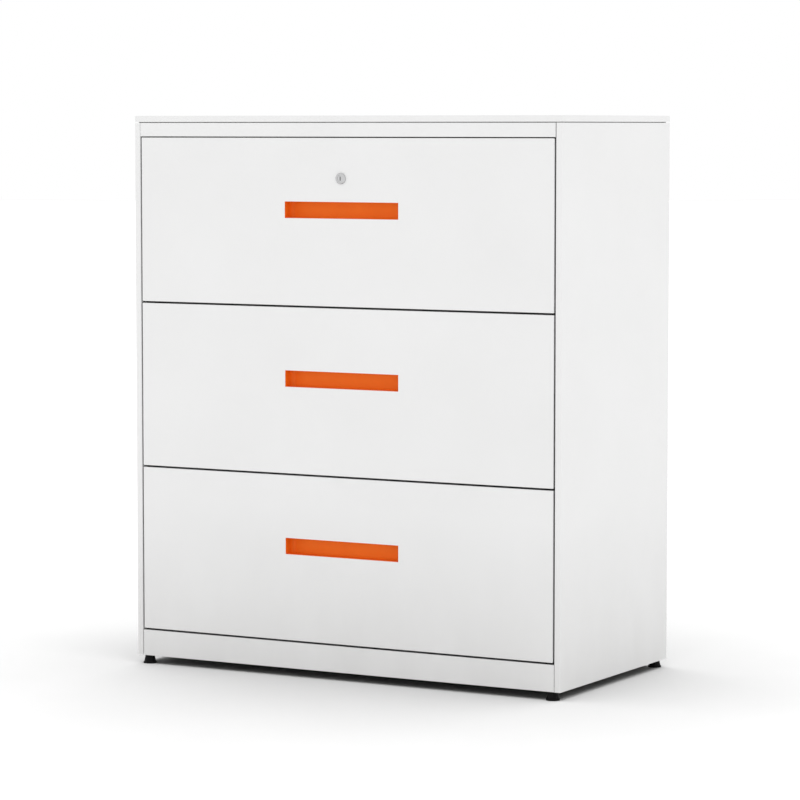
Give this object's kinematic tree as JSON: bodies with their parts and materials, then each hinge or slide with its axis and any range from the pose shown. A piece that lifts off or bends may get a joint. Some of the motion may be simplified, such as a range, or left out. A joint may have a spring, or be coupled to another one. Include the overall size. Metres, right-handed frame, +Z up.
{
  "type": "lateral filing cabinet",
  "caption": "Free-standing lateral filing cabinet of folded white steel with drawers on telescopic slides, recessed orange handles, a lock and levelling feet.",
  "frame": {"origin": "on the floor below the middle of the cabinet", "axes": "+X to the right seen from the front, -Y out of the front, +Z up"},
  "size_m": [0.9, 0.4548, 1.04],
  "materials": {
    "white_coated_steel": "fine-textured white powder coat",
    "orange_plastic": "satin orange plastic",
    "black_foot_plastic": "black plastic",
    "zinc_plated_steel": "bright zinc plating",
    "cage_steel": "plain steel strip",
    "lock_chrome": "satin chrome plating"
  },
  "bodies": {
    "case": {"left_side_panel": "white_coated_steel", "right_side_panel": "white_coated_steel", "back_panel": "white_coated_steel", "back_screws": "zinc_plated_steel", "top_panel": "white_coated_steel", "plinth": "white_coated_steel", "front_rail": "white_coated_steel", "bottom_panel": "white_coated_steel", "left_posts": "white_coated_steel", "right_posts": "white_coated_steel", "cross_rails": "white_coated_steel", "outer_slides_1": "zinc_plated_steel", "outer_slides_2": "zinc_plated_steel", "outer_slides_3": "zinc_plated_steel", "lock_bar_guides": "zinc_plated_steel", "foot_nuts": "zinc_plated_steel"},
    "drawer_1": {"drawer_front_1": "white_coated_steel", "drawer_liner_1": "white_coated_steel", "drawer_sides_1": "white_coated_steel", "drawer_back_1": "white_coated_steel", "drawer_bottom_1": "white_coated_steel", "handle_1": "orange_plastic", "file_bars_1": "zinc_plated_steel", "inner_slides_1": "zinc_plated_steel", "lock_housing": "lock_chrome", "lock_nut": "lock_chrome"},
    "slide_middles_1": {"middle_slides_1": "zinc_plated_steel"},
    "outer_cages_1": {"outer_ball_cages_1": "cage_steel"},
    "inner_cages_1": {"inner_ball_cages_1": "cage_steel"},
    "drawer_2": {"drawer_front_2": "white_coated_steel", "drawer_liner_2": "white_coated_steel", "drawer_sides_2": "white_coated_steel", "drawer_back_2": "white_coated_steel", "drawer_bottom_2": "white_coated_steel", "handle_2": "orange_plastic", "file_bars_2": "zinc_plated_steel", "inner_slides_2": "zinc_plated_steel"},
    "slide_middles_2": {"middle_slides_2": "zinc_plated_steel"},
    "outer_cages_2": {"outer_ball_cages_2": "cage_steel"},
    "inner_cages_2": {"inner_ball_cages_2": "cage_steel"},
    "drawer_3": {"drawer_front_3": "white_coated_steel", "drawer_liner_3": "white_coated_steel", "drawer_sides_3": "white_coated_steel", "drawer_back_3": "white_coated_steel", "drawer_bottom_3": "white_coated_steel", "handle_3": "orange_plastic", "file_bars_3": "zinc_plated_steel", "inner_slides_3": "zinc_plated_steel"},
    "slide_middles_3": {"middle_slides_3": "zinc_plated_steel"},
    "outer_cages_3": {"outer_ball_cages_3": "cage_steel"},
    "inner_cages_3": {"inner_ball_cages_3": "cage_steel"},
    "lock_plug": {"lock_plug": "lock_chrome", "lock_cam": "lock_chrome"},
    "lock_rod": {"lock_rod": "zinc_plated_steel"},
    "lock_bar": {"lock_bar": "zinc_plated_steel"},
    "front_left_foot": {"front_left_foot": "black_foot_plastic"},
    "front_right_foot": {"front_right_foot": "black_foot_plastic"},
    "back_left_foot": {"back_left_foot": "black_foot_plastic"},
    "back_right_foot": {"back_right_foot": "black_foot_plastic"}
  },
  "joints": [
    {"name": "drawer_1_slide", "type": "slide", "parent": "case", "child": "drawer_1", "axis": [0, -1, 0], "range_m": [0, 0.37]},
    {"name": "slide_middles_1_slide", "type": "slide", "parent": "case", "child": "slide_middles_1", "axis": [0, -1, 0], "range_m": [0, 0.185]},
    {"name": "outer_cages_1_slide", "type": "slide", "parent": "case", "child": "outer_cages_1", "axis": [0, -1, 0], "range_m": [0, 0.0925]},
    {"name": "inner_cages_1_slide", "type": "slide", "parent": "case", "child": "inner_cages_1", "axis": [0, -1, 0], "range_m": [0, 0.2775]},
    {"name": "drawer_2_slide", "type": "slide", "parent": "case", "child": "drawer_2", "axis": [0, -1, 0], "range_m": [0, 0.37]},
    {"name": "slide_middles_2_slide", "type": "slide", "parent": "case", "child": "slide_middles_2", "axis": [0, -1, 0], "range_m": [0, 0.185]},
    {"name": "outer_cages_2_slide", "type": "slide", "parent": "case", "child": "outer_cages_2", "axis": [0, -1, 0], "range_m": [0, 0.0925]},
    {"name": "inner_cages_2_slide", "type": "slide", "parent": "case", "child": "inner_cages_2", "axis": [0, -1, 0], "range_m": [0, 0.2775]},
    {"name": "drawer_3_slide", "type": "slide", "parent": "case", "child": "drawer_3", "axis": [0, -1, 0], "range_m": [0, 0.37]},
    {"name": "slide_middles_3_slide", "type": "slide", "parent": "case", "child": "slide_middles_3", "axis": [0, -1, 0], "range_m": [0, 0.185]},
    {"name": "outer_cages_3_slide", "type": "slide", "parent": "case", "child": "outer_cages_3", "axis": [0, -1, 0], "range_m": [0, 0.0925]},
    {"name": "inner_cages_3_slide", "type": "slide", "parent": "case", "child": "inner_cages_3", "axis": [0, -1, 0], "range_m": [0, 0.2775]},
    {"name": "lock_turn", "type": "hinge", "parent": "drawer_1", "child": "lock_plug", "pos_m": [0, -0.225, 0.9255], "axis": [0, -1, 0], "range_deg": [0, 90]},
    {"name": "lock_rod_slide", "type": "slide", "parent": "drawer_1", "child": "lock_rod", "axis": [1, 0, 0], "range_m": [0, 0.012]},
    {"name": "lock_bar_slide", "type": "slide", "parent": "case", "child": "lock_bar", "axis": [0, 0, -1], "range_m": [0, 0.0121]},
    {"name": "front_left_foot_turn", "type": "hinge", "parent": "case", "child": "front_left_foot", "pos_m": [-0.43, -0.2135, 0], "axis": [0, 0, 1], "continuous": true},
    {"name": "front_right_foot_turn", "type": "hinge", "parent": "case", "child": "front_right_foot", "pos_m": [0.43, -0.2135, 0], "axis": [0, 0, 1], "continuous": true},
    {"name": "back_left_foot_turn", "type": "hinge", "parent": "case", "child": "back_left_foot", "pos_m": [-0.43, 0.2135, 0], "axis": [0, 0, 1], "continuous": true},
    {"name": "back_right_foot_turn", "type": "hinge", "parent": "case", "child": "back_right_foot", "pos_m": [0.43, 0.2135, 0], "axis": [0, 0, 1], "continuous": true}
  ],
  "couplings": [
    {"joint": "slide_middles_1_slide", "follows": "drawer_1_slide", "ratio": 0.5},
    {"joint": "outer_cages_1_slide", "follows": "drawer_1_slide", "ratio": 0.25},
    {"joint": "inner_cages_1_slide", "follows": "drawer_1_slide", "ratio": 0.75},
    {"joint": "slide_middles_2_slide", "follows": "drawer_2_slide", "ratio": 0.5},
    {"joint": "outer_cages_2_slide", "follows": "drawer_2_slide", "ratio": 0.25},
    {"joint": "inner_cages_2_slide", "follows": "drawer_2_slide", "ratio": 0.75},
    {"joint": "slide_middles_3_slide", "follows": "drawer_3_slide", "ratio": 0.5},
    {"joint": "outer_cages_3_slide", "follows": "drawer_3_slide", "ratio": 0.25},
    {"joint": "inner_cages_3_slide", "follows": "drawer_3_slide", "ratio": 0.75},
    {"joint": "lock_turn", "follows": "lock_rod_slide", "rad_per_m": 130.9},
    {"joint": "lock_bar_slide", "follows": "lock_rod_slide", "ratio": 1}
  ]
}
